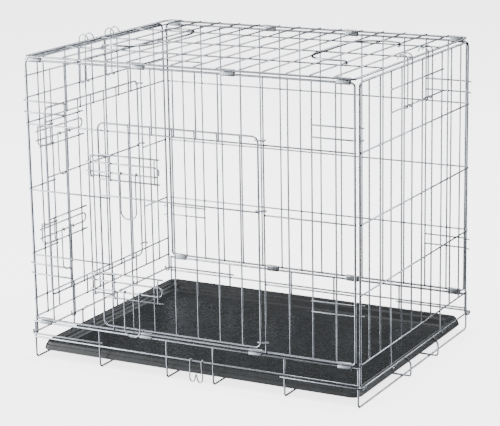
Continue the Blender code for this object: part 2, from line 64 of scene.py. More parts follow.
# %% Main sizes, from the hinges
PIVOT = {j["name"]: np.array(j["pos_m"]) for j in frame["joints"] if "pos_m" in j}
right_hinge, left_hinge = PIVOT["right_end_fold"], PIVOT["left_end_fold"]
rear_hinge, front_hinge = PIVOT["rear_panel_fold"], PIVOT["front_panel_fold"]
CENTRE = np.array([(right_hinge[0] + left_hinge[0]) / 2, (rear_hinge[1] + front_hinge[1]) / 2, 0])
HALF_WID = (rear_hinge[1] - front_hinge[1]) / 2
SIDE_FOOT, SIDE_HEAD = rear_hinge[2], front_hinge[2]
END_HINGE_X = (right_hinge[0] - left_hinge[0]) / 2
RIGHT_HINGE_Z, LEFT_HINGE_Z = right_hinge[2], left_hinge[2]
END_X = END_HINGE_X - 0.0041      # plane of the end panels' uprights
HALF_LEN = END_X - 0.0055         # middle of the long panels' end wires
END_HALF = HALF_WID - 0.0065      # half the width of an end panel
END_HEAD = SIDE_HEAD + 0.0006
print("long panel", round(2 * HALF_LEN, 4), "x", round(SIDE_HEAD - SIDE_FOOT, 4),
      "end panel", round(2 * END_HALF, 4), "centre", CENTRE.round(4))

# %% Wire sizes and spacings
MESH_R, FRAME_R, BASE_R = 0.0014, 0.0019, 0.0016
PRESSED = 0.0006                  # how far two welded wires sink into each other
LAYER = 2 * MESH_R - PRESSED      # crossing mesh wires, middle to middle
BASE_LAYER = 2 * BASE_R - PRESSED
RAIL_GAP, CORNER_R = 0.0060, 0.0060
MID_RAIL_Z = 0.0394
COLUMNS, END_COLUMNS = 14, 10
PITCH = 2 * (HALF_LEN - 0.034) / (COLUMNS - 1)
END_PITCH = 2 * (END_HALF - 0.035) / (END_COLUMNS - 1)
ROWS = SIDE_FOOT + np.array([1, 2, 3]) * 0.25273 * (SIDE_HEAD - SIDE_FOOT)
PAIRS = np.array([SIDE_FOOT + 0.081, SIDE_FOOT + 0.099, SIDE_HEAD - 0.0904, SIDE_HEAD - 0.0708])
UPPER_ROWS = np.array([SIDE_HEAD - 0.0669, SIDE_HEAD - 0.0294])
TOP_RAIL = SIDE_HEAD + RAIL_GAP
TOP_CROSS = TOP_RAIL + LAYER
BASE_RAIL = SIDE_FOOT - RAIL_GAP
EDGE, END_EDGE = 3.5 * PITCH, 3.5 * END_PITCH      # half the width of each doorway
print("mesh", round(PITCH * 1000, 2), "and", round(END_PITCH * 1000, 2), "mm, rows at", ROWS.round(4))

# %% Doors and latches
EYE_WIRE, BOLT_R, CURL_WIRE = 0.0012, 0.0014, 0.0013
EYE_PLAY, CURL_PLAY = 0.0004, 0.0007      # between an eye or a curl and the wire inside it
PIN_GAP, SLIDE_GAP = 0.00035, 0.0003      # round a bolt in its pull, and under its bridges
DOOR_INSET, DOOR_GAP = 0.0018, 0.0004     # uprights behind a door's frame, frame off the panel
CURL_R = MESH_R + CURL_PLAY + CURL_WIRE
EYE_R = BOLT_R + PIN_GAP + EYE_WIRE
BOLT_OUT = MESH_R + SLIDE_GAP + EYE_R + EYE_WIRE - DOOR_INSET
STAPLE_OUT = BOLT_R + SLIDE_GAP + EYE_WIRE
ARM_HALF, KEEPER_HALF, LATCH_HALF = 0.008, 0.017, 0.021
DOOR_TOP, DOOR_ROW = ROWS[2] + 0.0142, ROWS[1] + 0.0054
FRONT_LATCHES = (0.153, DOOR_TOP - 0.075)
LEFT_LATCHES = (0.212, DOOR_TOP - 0.046)
LEFT_SILL = 0.106
FRONT_EDGE_W, LEFT_EDGE_W = HALF_WID + LAYER, END_X + 2 * LAYER


def door_plane(edge_w):
    """How far out a closed door's frame lies: one wire, a small gap and half a door wire."""
    return edge_w + MESH_R + DOOR_GAP + BASE_R


print("front door plane", round(door_plane(FRONT_EDGE_W), 4), "end door", round(door_plane(LEFT_EDGE_W), 4))

# %% [markdown]
# ## Four ways to look at a panel
#
# Front, rear, left and right panels are the same kind of thing, seen from four sides. So
# every wire is described by three numbers: u along its panel, w out from the middle of the
# crate, and z up. A side is then just a small matrix that turns those numbers into places.

# %% Sides as matrices
FRONT = np.array([(1, 0, 0), (0, -1, 0), (0, 0, 1)], float)
REAR = np.array([(1, 0, 0), (0, 1, 0), (0, 0, 1)], float)
LEFT = np.array([(0, 1, 0), (-1, 0, 0), (0, 0, 1)], float)
RIGHT = np.array([(0, 1, 0), (1, 0, 0), (0, 0, 1)], float)


def flat(x, y, z):
    """Points from three coordinates, each one number or an array."""
    return np.stack(np.broadcast_arrays(x, y, z), -1).astype(float)


def place(side, u, w, z):
    """Points of a panel: u times its first axis, plus w times its outward axis, plus z up."""
    return flat(u, w, z) @ side


def columns(pitch, count):
    """Evenly spaced places, centred on zero."""
    return (np.arange(count) - (count - 1) / 2) * pitch


def doorway(u, edge, present):
    """Which uprights stand inside a doorway's edges, and which stand on them; none of them
    where the panel has no doorway."""
    near = np.abs(np.abs(u) - edge) < 0.001
    return (np.abs(u) < edge) & ~near & present, near & present


def beside(edge, half):
    """The two spans of a wire that a doorway interrupts, each lapping onto the edge wire."""
    return (-half, -edge + 0.0006), (edge - 0.0006, half)


print("uprights of the long panels at", columns(PITCH, COLUMNS)[:3].round(4), "...")

# %% [markdown]
# ## Wire as a surface
#
# A drawn wire is a circle carried along a line. That is a function of two parameters, the
# place along the wire and the angle round it, so a whole wire is one grid of points. Curve
# objects could do the same, but the grid also gives each point its length along the wire,
# which the plating uses for its drawing lines. The ends are sheared and slightly rounded.

# %% Grids of faces
def grid_faces(rows, sides, closed=False):
    """Quads between neighbouring rings: ring i joins ring i + 1, and the last side joins the first."""
    i = np.arange(rows if closed else rows - 1)[:, None]
    j = np.arange(sides)[None]
    k, m = (i + 1) % rows, (j + 1) % sides
    return np.stack([i * sides + j, i * sides + m, k * sides + m, k * sides + j], -1).reshape(-1, 4)


def end_caps(rows, sides):
    """The first ring turned round, and the last ring, as two faces of many corners."""
    return np.stack([np.arange(sides)[::-1], (rows - 1) * sides + np.arange(sides)])


def grid_uv(along, sides, closed=False):
    """For each quad, the share of the way round, and the length along in metres."""
    nxt = np.append(along[1:], 2 * along[-1] - along[-2]) if closed else along[1:]
    v0, v1 = (along if closed else along[:-1])[:, None], nxt[:, None]
    u = np.arange(sides)[None] / sides
    corners = [(u, v0), (u + 1 / sides, v0), (u + 1 / sides, v1), (u, v1)]
    return np.stack([np.stack(np.broadcast_arrays(a, b), -1) for a, b in corners], -2).reshape(-1, 4, 2)


def circle(sides):
    """Cosine and sine of equal steps of angle."""
    a = np.arange(sides) * 2 * np.pi / sides
    return np.cos(a)[:, None], np.sin(a)[:, None]


print("a ring of 12 on 4 rows has", len(grid_faces(4, 12)), "quads")

# %% Frames that do not twist
def unit(v):
    """Each vector divided by its own length."""
    return v / np.linalg.norm(v, axis=-1, keepdims=True)


def tangents(path, closed):
    """The direction halfway between the segment before a point and the one after it."""
    seg = unit(np.diff(np.vstack([path, path[:1]]) if closed else path, axis=0))
    if closed:
        return unit(seg + np.roll(seg, 1, 0))
    return unit(np.vstack([seg[:1], seg[:-1] + seg[1:], seg[-1:]]))


def cross_frames(t):
    """Two directions square to the path that only turn as the path makes them. Any square
    direction is picked at each point, carried to the next by the smallest turn between the two
    tangents, and the angle it is off there is summed along the path and taken away again."""
    n = unit(np.cross(t, np.eye(3)[np.argmin(np.abs(t), axis=1)]))
    s = t[:-1] + t[1:]
    carried = n[:-1] - 2 * ((s * n[:-1]).sum(1) / (s * s).sum(1))[:, None] * s
    off = np.arctan2((t[1:] * np.cross(carried, n[1:])).sum(1), (carried * n[1:]).sum(1))
    off = np.append(0, np.cumsum(off))[:, None]
    n = n * np.cos(off) - np.cross(t, n) * np.sin(off)
    return n, np.cross(t, n)


print("frames ready")

# %% One bent wire, and many straight ones
END_STEPS, END_SCALE = np.array([0.0, 0.10, 0.32]), np.array([0.80, 0.94, 1.0])


def tube(path, radius, sides=14, closed=False):
    """A circle carried along the path; near an open end it shrinks to the sheared face."""
    path = np.asarray(path, float)
    if closed:
        scale = np.ones(len(path))
    else:
        first, last = unit(path[1] - path[0]), unit(path[-2] - path[-1])
        head = path[0] + radius * END_STEPS[:, None] * first
        tail = (path[-1] + radius * END_STEPS[:, None] * last)[::-1]
        scale = np.concatenate([END_SCALE, np.ones(len(path) - 2), END_SCALE[::-1]])
        path = np.vstack([head, path[1:-1], tail])
    n, b = cross_frames(tangents(path, closed))
    c, s = circle(sides)
    points = path[:, None] + radius * scale[:, None, None] * (c * n[:, None] + s * b[:, None])
    length = np.append(0, np.cumsum(np.linalg.norm(np.diff(path, axis=0), axis=1)))
    rows = len(path)
    caps = np.zeros((0, sides), int) if closed else end_caps(rows, sides)
    return dict(points=points.reshape(-1, 3), quads=grid_faces(rows, sides, closed),
                uv=grid_uv(length, sides, closed), caps=caps, weld=0.0)


def rods(start, end, radius, sides=10):
    """Straight wires from every start to every end at once: six circles on each, the outer
    ones smaller, and a flat face at both ends."""
    start, end = (np.reshape(p, (-1, 3)) for p in np.broadcast_arrays(start, end))
    t = unit(end - start)
    length = np.linalg.norm(end - start, axis=1)
    n = unit(np.cross(t, np.eye(3)[np.argmin(np.abs(t), axis=1)]))
    b = np.cross(t, n)
    near = radius * END_STEPS
    s = np.concatenate([np.tile(near, (len(t), 1)), length[:, None] - near[::-1]], 1)
    scale = np.concatenate([END_SCALE, END_SCALE[::-1]])
    c, k = circle(sides)
    ring = c * n[:, None, None] + k * b[:, None, None]
    points = (start[:, None] + s[..., None] * t[:, None])[:, :, None] + radius * scale[:, None, None] * ring
    offset = np.arange(len(t)) * 6 * sides
    quads = grid_faces(6, sides)[None] + offset[:, None, None]
    uv = np.concatenate([grid_uv(row, sides) for row in s]) if len(s) else np.zeros((0, 4, 2))
    cap = end_caps(6, sides)[None] + offset[:, None, None]
    return dict(points=points.reshape(-1, 3), quads=quads.reshape(-1, 4), uv=uv,
                caps=cap.reshape(-1, sides), weld=0.0)


print("one rod has", len(rods([(0, 0, 0)], [(0, 0, 1)], MESH_R)["quads"]), "quads")

# %% [markdown]
# ## Welds
#
# Where two wires cross they are pressed together while a current melts the contact. The
# wires sink into each other by about a fifth, and a little metal is squeezed out round the
# joint. That bead is what stops a grille from looking like loose sticks. There are hundreds
# of them, so each is a flattened ball of a few dozen faces, made for all crossings at once.

# %% Beads at the crossings
POLAR = np.radians([22, 52, 90, 128, 158])


def beads(side, u, w, z, size):
    """Flattened balls: rings at five latitudes, wide in the panel's plane and thin across it."""
    u, w, z = (np.ravel(a) for a in np.broadcast_arrays(u, w, z))
    c, s = circle(8)
    ring = np.stack(np.broadcast_arrays(np.sin(POLAR)[:, None] * c.T * 1.35,
                                        np.cos(POLAR)[:, None] * 0.95 + 0 * c.T,
                                        np.sin(POLAR)[:, None] * s.T * 1.35), -1)
    local = ring.reshape(1, -1, 3) * size + np.stack([u, w, z], -1)[:, None]
    offset = np.arange(len(u)) * 40
    quads = grid_faces(5, 8)
    caps = end_caps(5, 8)
    uv = np.zeros((len(u) * len(quads), 4, 2))
    return dict(points=(local @ side).reshape(-1, 3), uv=uv, weld=1.0,
                quads=(quads[None] + offset[:, None, None]).reshape(-1, 4),
                caps=(caps[None] + offset[:, None, None]).reshape(-1, 8))


def crossings(uprights, bars, slack=0.0016):
    """Where upright (u, w, z0, z1) and bar (z, w, u0, u1) meet: the pairs whose spans hold
    each other's place, and there the point halfway between the two wires."""
    up, bar = np.asarray(uprights, float)[:, None], np.asarray(bars, float)[None]
    hit = ((up[..., 0] > bar[..., 2] - slack) & (up[..., 0] < bar[..., 3] + slack)
           & (bar[..., 0] > up[..., 2] - slack) & (bar[..., 0] < up[..., 3] + slack)
           & (np.abs(up[..., 1] - bar[..., 1]) < 1.3 * LAYER))
    u, w = np.broadcast_to(up[..., 0], hit.shape), (up[..., 1] + bar[..., 1]) / 2
    return u[hit], w[hit], np.broadcast_to(bar[..., 0], hit.shape)[hit]


print("a bead has", len(grid_faces(5, 8)) + 2, "faces")

# %% [markdown]
# ## Bends
#
# Frames are bent round a small tool, so their corners are true arcs. Freer shapes, such as
# the carry handles, pass smoothly through a few points. A Catmull-Rom curve does that: it
# needs no handles, and the whole curve is one matrix product.

# %% Arcs, rounded loops and smooth curves
def arc(centre, radius, start, stop, steps=10):
    """Points round a circle in a plane: centre plus radius times cosine and sine, in degrees."""
    a = np.radians(np.linspace(start, stop, steps + 1))
    return np.stack([centre[0] + radius * np.cos(a), centre[1] + radius * np.sin(a)], 1)


def rounded(low, high, radius, steps=8):
    """A rectangle whose four corners are quarter circles, as one closed line."""
    (a0, b0), (a1, b1), r = low, high, radius
    return np.vstack([arc((a1 - r, b1 - r), r, 0, 90, steps), arc((a0 + r, b1 - r), r, 90, 180, steps),
                      arc((a0 + r, b0 + r), r, 180, 270, steps), arc((a1 - r, b0 + r), r, 270, 360, steps)])


def smooth(points, steps=6):
    """A Catmull-Rom curve: each span is a cubic that leaves and arrives in the direction from
    the point before to the point after, worked out for all spans in one product."""
    p = np.asarray(points, float)
    p = np.vstack([2 * p[0] - p[1], p, 2 * p[-1] - p[-2]])
    t = np.linspace(0, 1, steps, endpoint=False)[:, None]
    basis = np.hstack([-t + 2 * t**2 - t**3, 2 - 5 * t**2 + 3 * t**3,
                       t + 4 * t**2 - 3 * t**3, t**3 - t**2]) / 2
    spans = np.stack([p[:-3], p[1:-2], p[2:-1], p[3:]], 1)
    return np.vstack([(basis @ spans).reshape(-1, p.shape[1]), p[-2]])


print("a frame corner has", len(arc((0, 0), 1, 0, 90, 8)), "points")

# %% [markdown]
# ## Shader maths as Python
#
# A plating or a moulded skin is a sum of noises. Writing those sums as node links is slow
# to read, so a small class wraps a socket and turns +, - and * into Math nodes. Anything
# else comes from one method that sets a node's options and then its inputs.

# %% A socket with operators
class Flow:
    """An output socket in a tree. Arithmetic with numbers or other flows adds Math nodes."""

    def __init__(self, tree, socket):
        self.tree, self.socket = tree, socket

    def math(self, operation, *values):
        return self.tree.node("ShaderNodeMath", dict(operation=operation), *values)

    def __add__(self, other):
        return self.math("ADD", self, other)

    def __sub__(self, other):
        return self.math("SUBTRACT", self, other)

    def __rsub__(self, other):
        return self.math("SUBTRACT", other, self)

    def __mul__(self, other):
        return self.math("MULTIPLY", self, other)

    __radd__, __rmul__ = __add__, __mul__


class Tree:
    """The node tree of a material or a world, and the ways to add nodes to it."""

    def __init__(self, owner):
        owner.use_nodes = True
        self.nodes, self.links = owner.node_tree.nodes, owner.node_tree.links

    def node(self, kind, settings, *values, output=0, **named):
        """A node of that type, its settings first, then its inputs by place or by name."""
        made = self.nodes.new(kind)
        for key, value in settings.items():
            setattr(made, key, value)
        for key, value in [*enumerate(values), *((k.replace("_", " "), v) for k, v in named.items())]:
            if isinstance(value, Flow):
                self.links.new(value.socket, made.inputs[key])
            elif value is not None:
                made.inputs[key].default_value = value
        return Flow(self, made.outputs[output])

    def noise(self, vector, scale, detail=3.0, rough=0.55):
        return self.node("ShaderNodeTexNoise", {}, Vector=vector, Scale=scale, Detail=detail,
                         Roughness=rough)

    def stretch(self, vector, scale):
        return self.node("ShaderNodeVectorMath", dict(operation="MULTIPLY"), vector, scale)

    def ramp(self, value, low, high):
        """0 below low, 1 above high, and a straight line between."""
        return self.node("ShaderNodeMapRange", dict(clamp=True), value, low, high)

    def mix(self, share, first, second):
        """A colour between two, by share; a plain colour is three numbers."""
        made = self.nodes.new("ShaderNodeMix")
        made.data_type = "RGBA"
        for key, value in ((0, share), (6, first), (7, second)):
            if isinstance(value, Flow):
                self.links.new(value.socket, made.inputs[key])
            else:
                made.inputs[key].default_value = (*value, 1) if key else value
        return Flow(self, made.outputs[2])

    def bump(self, height, distance, normal=None):
        return self.node("ShaderNodeBump", {}, Strength=1.0, Distance=distance, Height=height,
                         Normal=normal)


class Finish(Tree):
    """A new material: what is the same all over is set on its shader, the rest is fed to it."""

    def __init__(self, name, **constants):
        self.material = bpy.data.materials.new(name)
        super().__init__(self.material)
        self.shader = self.nodes["Principled BSDF"]
        for key, value in constants.items():
            self.shader.inputs[key.replace("_", " ")].default_value = value

    def feed(self, **named):
        for key, flow in named.items():
            self.links.new(flow.socket, self.shader.inputs[key.replace("_", " ")])
        return self.material


print("shader helpers ready")

# %% [markdown]
# ## Zinc plate on drawn wire
#
# Bright zinc is a cool, fairly light metal that is never quite even. Drawing leaves fine
# lines along the wire, the bath leaves cloudy patches a few centimetres long, and the
# passivation adds a breath of blue or straw. Welds are duller, because they are made before
# plating and stay rough. The lines use the wire's own length and angle, and the clouds use
# its place in the crate, so that neighbouring wires do not match.

# %% The plated finishes
def plated(name, pale, deep, gloss, straw):
    """Cloudy plating over drawing lines: two colours mixed by slow noise, a straw tint in
    places, dull welds, and roughness that follows the same clouds."""
    f = Finish(name, Metallic=1.0, Specular_IOR_Level=0.5)
    place_in = f.node("ShaderNodeTexCoord", {}, output=3)
    on_wire = f.node("ShaderNodeUVMap", dict(uv_map="wire"))
    weld = f.node("ShaderNodeAttribute", dict(attribute_name="weld"), output=2)
    clouds = f.ramp(f.noise(place_in, 34.0, 4.0), 0.34, 0.66)
    specks = f.noise(place_in, 620.0, 2.0)
    lines = f.noise(f.stretch(on_wire, (9.0, 26.0, 1.0)), 4.0, 3.0)
    tint = f.ramp(f.noise(place_in, 11.0, 2.0), 0.50, 0.74)
    colour = f.mix(clouds, deep, pale)
    colour = f.mix(tint * 0.35, colour, straw)
    colour = f.mix(f.ramp(specks, 0.60, 0.72) * 0.22, colour, (0.28, 0.29, 0.30))
    colour = f.mix(weld * 0.55, colour, (0.22, 0.22, 0.22))
    rough = gloss + (1 - clouds) * 0.10 + lines * 0.07 + weld * 0.22
    grain = f.bump(lines, 0.00004)
    return f.feed(Base_Color=colour, Roughness=rough, Normal=f.bump(specks, 0.00003, grain))


ZINC = plated("zinc_plated_wire", (0.54, 0.56, 0.59), (0.32, 0.34, 0.37), 0.17, (0.50, 0.48, 0.42))
SPRING = plated("bright_spring_wire", (0.58, 0.60, 0.63), (0.34, 0.36, 0.39), 0.13, (0.52, 0.51, 0.46))
print("plated finishes:", ZINC.name, SPRING.name)

# %% [markdown]
# ## Rolled sheet and moulded plastic
#
# The hinge clips are cut from galvanised strip, whose zinc has frozen into flat crystals,
# called spangle. A Voronoi pattern is that very thing: each cell takes its own shade. The
# tray is thermoformed black plastic with a fine satin grain, faint long scuffs from being
# slid in and out, and a floor that is not quite flat, which breaks up its reflections.

# %% Spangled strip
def spangled(name):
    """Voronoi cells give each crystal a shade; fine noise roughens the rolled surface."""
    f = Finish(name, Metallic=1.0)
    place_in = f.node("ShaderNodeTexCoord", {}, output=3)
    cells = f.node("ShaderNodeTexVoronoi", {}, Vector=place_in, Scale=420.0, output=1)
    shade = f.node("ShaderNodeSeparateColor", {}, cells)
    wear = f.noise(place_in, 260.0, 3.0)
    colour = f.mix(shade, (0.34, 0.36, 0.38), (0.58, 0.60, 0.62))
    colour = f.mix(f.ramp(wear, 0.62, 0.75) * 0.4, colour, (0.30, 0.30, 0.30))
    return f.feed(Base_Color=colour, Roughness=0.26 + shade * 0.14 + wear * 0.08,
                  Normal=f.bump(wear + shade * 0.5, 0.00003))


SHEET = spangled("galvanised_sheet")
print("spangled finish:", SHEET.name)


# %% Satin black plastic
def satin_black(name):
    """Fine round grain for the skin, long thin noise for scuffs, and slow waves for the floor."""
    f = Finish(name, Metallic=0.0, Specular_IOR_Level=0.26, IOR=1.49)
    place_in = f.node("ShaderNodeTexCoord", {}, output=3)
    grain = f.node("ShaderNodeTexVoronoi", dict(feature="SMOOTH_F1"), Vector=place_in, Scale=1500.0)
    scuff = f.ramp(f.noise(f.stretch(place_in, (18.0, 320.0, 60.0)), 1.0, 4.0), 0.60, 0.72)
    dust = f.ramp(f.noise(place_in, 42.0, 5.0), 0.46, 0.80)
    waves = f.noise(place_in, 7.0, 1.0)
    colour = f.mix(dust * 0.5, (0.024, 0.025, 0.026), (0.036, 0.038, 0.040))
    colour = f.mix(scuff * 0.10, colour, (0.062, 0.064, 0.066))
    rough = 0.26 + dust * 0.08 + scuff * 0.06
    wavy = f.bump(waves, 0.0012)
    return f.feed(Base_Color=colour, Roughness=rough,
                  Normal=f.bump(grain + scuff * 0.2, 0.000010, wavy))


PLASTIC = satin_black("black_moulded_plastic")
FINISH_OF = {"zinc_wire": ZINC, "spring_wire": SPRING, "galvanised_sheet": SHEET,
             "black_plastic": PLASTIC}
print("finishes:", sorted(m.name for m in FINISH_OF.values()))

# %% [markdown]
# ## From arrays to a piece
#
# A piece of the crate is many surfaces in one mesh: its wires, its bends and its welds. One
# function stacks their arrays, writes the wire lengths as a UV map and the welds as an
# attribute, and hands the piece to the frame: it replaces the CAD node and rides its body.

# %% Making and placing a piece
def outward(surface):
    """The faces turned outwards: a closed surface's volume, the sum over its triangles of
    their corners' triple product, comes out negative when they point in."""
    p, q = surface["points"], surface["quads"]
    volume = (p[q[:, 0]] * (np.cross(p[q[:, 1]], p[q[:, 2]]) + np.cross(p[q[:, 2]], p[q[:, 3]]))).sum()
    if volume > 0:
        return surface
    return dict(surface, quads=q[:, ::-1], caps=surface["caps"][:, ::-1], uv=surface["uv"][:, ::-1])


def piece(name, surfaces, sharp=40.0):
    """Stacks surfaces into one mesh, each one's indices raised by the points before it."""
    surfaces = [outward(s) for s in surfaces]
    first = np.cumsum([0] + [len(s["points"]) for s in surfaces])
    points = np.vstack([s["points"] for s in surfaces]) + CENTRE
    faces = sum([(s["quads"] + n).tolist() + (s["caps"] + n).tolist()
                 for s, n in zip(surfaces, first)], [])
    mesh = bpy.data.meshes.new(name)
    mesh.from_pydata(points, [], faces)
    uv = [np.concatenate([s["uv"].reshape(-1, 2), np.zeros((s["caps"].size, 2))]) for s in surfaces]
    mesh.uv_layers.new(name="wire").data.foreach_set("uv", np.vstack(uv).ravel().astype(np.float32))
    weld = np.concatenate([np.full(len(s["points"]), s["weld"]) for s in surfaces])
    mesh.attributes.new("weld", "FLOAT", "POINT").data.foreach_set("value", weld.astype(np.float32))
    mesh.shade_smooth()
    mesh.set_sharp_from_angle(angle=math.radians(sharp))
    mesh.validate()
    ob = bpy.data.objects.new(name, mesh)
    bpy.context.scene.collection.objects.link(ob)
    node = name.removeprefix("look_")
    mesh.materials.append(FINISH_OF[SLOT_OF[node]])
    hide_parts(node)
    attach(ob, BODY_OF[node])
    print(f"{name}: {len(mesh.vertices)} points, {len(mesh.polygons)} faces")
    return ob


def upright_rods(side, rows):
    """Straight mesh wires from (u, w, z0) to (u, w, z1)."""
    u, w, z0, z1 = np.asarray(rows, float).T
    return rods(place(side, u, w, z0), place(side, u, w, z1), MESH_R)


def bar_rods(side, rows):
    """Straight mesh wires from (u0, w, z) to (u1, w, z)."""
    z, w, u0, u1 = np.asarray(rows, float).T
    return rods(place(side, u0, w, z), place(side, u1, w, z), MESH_R)


def flat_loop(side, w, low, high, corner, radius):
    """A frame: a rounded rectangle of wire in a panel's plane."""
    line = rounded(low, high, corner)
    return tube(place(side, line[:, 0], w, line[:, 1]), radius, 16, closed=True)


# %% [markdown]
# ## Staples and keepers
#
# A slide bolt runs under small bridges of wire. On the door two of them guide it, and on
# the panel one catches its tips. All are the same bridge: out from a pair of short bars, up
# over the bolt, and back.

# %% A bridge of wire
def bridge(side, u, root_w, bolt_w, z, reach):
    """Out from the root, over the bolt and back, with its two corners rounded."""
    outer = bolt_w + STAPLE_OUT
    corner = np.array([(root_w - 0.0004, reach), (outer - 0.0030, reach), (outer - 0.0012, reach - 0.0005),
                       (outer - 0.0002, reach - 0.0020), (outer, reach - 0.0042), (outer, 0.0)])
    line = smooth(np.vstack([corner, (corner * (1, -1))[-2::-1]]), 3)
    return tube(place(side, u, line[:, 0], z + line[:, 1]), EYE_WIRE, 12)


def keeper(side, panel_w, edge_w, edge, pitch, z):
    """The bridge that holds a bolt's tips, and the two short bars that carry it."""
    bolt_w = door_plane(edge_w) + BOLT_OUT
    rows = [(z + s * KEEPER_HALF, panel_w, -edge - pitch - 0.0004, -edge + 0.0005) for s in (-1, 1)]
    u = -edge - 0.029
    return [bridge(side, u, panel_w, bolt_w, z, KEEPER_HALF),
            beads(side, u, panel_w, [z - KEEPER_HALF, z + KEEPER_HALF], EYE_WIRE)], rows


print("bridge reach", round(STAPLE_OUT * 1000, 2), "mm over the bolt")

# %% [markdown]
# ## The long panels
#
# Front and rear are thick rounded frames with fourteen uprights inside them and the long
# wires across. Short pairs of wires stiffen the corners. In the front one the uprights stop
# above the doorway, and two of them move outwards to edge it, where the door turns.

# %% Front and rear panels
def long_panel(node, side, latches):
    """Frame, rows, short pairs, uprights, the doorway's edges, keepers and all the welds."""
    w, u = HALF_WID, columns(PITCH, COLUMNS)
    foot, head = SIDE_FOOT - 0.0006, SIDE_HEAD + 0.0006
    inner, edge = doorway(u, EDGE, bool(latches))
    low = np.where(inner, ROWS[2] - 0.001, foot)
    up = np.stack([u, np.where(edge, w + LAYER, w - LAYER), low, np.full(len(u), head)], 1)
    rows = [(z, w, -HALF_LEN, HALF_LEN) for z in ROWS if not latches or z == ROWS[2]]
    if latches:
        rows += [(z, w, *span) for z in ROWS[:2] for span in beside(EDGE, HALF_LEN)]
    rows += [(z, w, *span) for z in PAIRS for span in beside(5.5 * PITCH, HALF_LEN)]
    parts = []
    for z in latches or ():
        made, bars = keeper(side, w, w + LAYER, EDGE, PITCH, z)
        parts, rows = parts + made, rows + bars
    rails = [(SIDE_FOOT, w, -HALF_LEN, HALF_LEN), (SIDE_HEAD, w, -HALF_LEN, HALF_LEN)]
    ends = [(s * HALF_LEN, w, SIDE_FOOT, SIDE_HEAD) for s in (-1, 1)]
    parts += [flat_loop(side, w, (-HALF_LEN, SIDE_FOOT), (HALF_LEN, SIDE_HEAD), CORNER_R, FRAME_R),
              upright_rods(side, up), bar_rods(side, rows),
              beads(side, *crossings(up, rows), MESH_R),
              beads(side, *crossings(up, rails), FRAME_R * 0.85),
              beads(side, *crossings(ends, rows), FRAME_R * 0.95)]
    return piece("look_" + node, parts)


long_panel("rear_panel", REAR, None)
long_panel("front_panel", FRONT, FRONT_LATCHES)

# %% [markdown]
# ## The top
#
# The top is the same grille lying down: a frame, three long wires and fourteen cross wires
# that run over it and end just past the frame, where their cut ends catch the light.

# %% Top panel
LYING = np.array([(1, 0, 0), (0, 0, 1), (0, 1, 0)], float)   # w is up, and z runs to the rear


def top_panel():
    """Frame, three long wires, the cross wires over them, and the welds."""
    line = rounded((-HALF_LEN, -HALF_WID), (HALF_LEN, HALF_WID), CORNER_R)
    x, y = columns(PITCH, COLUMNS), np.array([-0.5, 0.0, 0.5]) * HALF_WID
    over = HALF_WID + 0.0012
    cross = np.stack(np.broadcast_arrays(x, TOP_CROSS, -over, over), 1)
    along = [(v, TOP_RAIL, -HALF_LEN, HALF_LEN) for v in y]
    rails = [(s * HALF_WID, TOP_RAIL, -HALF_LEN, HALF_LEN) for s in (-1, 1)]
    ends = [(s * HALF_LEN, TOP_RAIL, -HALF_WID, HALF_WID) for s in (-1, 1)]
    return piece("look_top_panel", [
        tube(flat(line[:, 0], line[:, 1], TOP_RAIL), FRAME_R, 16, closed=True),
        rods(flat(-HALF_LEN, y, TOP_RAIL), flat(HALF_LEN, y, TOP_RAIL), MESH_R),
        rods(flat(x, -over, TOP_CROSS), flat(x, over, TOP_CROSS), MESH_R),
        beads(LYING, *crossings(cross, along), MESH_R),
        beads(LYING, *crossings(cross, rails), FRAME_R * 0.85),
        beads(LYING, *crossings(ends, along), FRAME_R * 0.95)])


top_panel()

# %% [markdown]
# ## The end panels
#
# An end panel is one thick wire bent into an arch, with finer wires across it. Its legs and
# two of its uprights go on below, curl under the basket's end rail and turn up outside it,
# which makes the hinge. Small catches at both edges reach round the side panels' corners.

# %% Hooks and catches
def hook_line(side, u, hinge_z):
    """Down the outside of the arch, half a turn under the rail, and a short way up outside it."""
    r = END_HINGE_X - END_X
    under = arc((END_HINGE_X, hinge_z), r, 180, 360, 14)
    return np.vstack([place(side, u, under[:, 0], under[:, 1]),
                      place(side, u, END_HINGE_X + r, hinge_z + 0.004)[None]])


def catch(side, sign, z):
    """A short curl from the arch's leg, out and back in."""
    line = smooth([(0, -0.0005), (0.0011, 0.0030), (0.0006, 0.0057), (-0.0016, 0.0066)], 5)
    return tube(place(side, sign * (END_HALF + line[:, 0]), END_X + line[:, 1], z), EYE_WIRE, 12)


print("hook radius", round((END_HINGE_X - END_X) * 1000, 2), "mm")


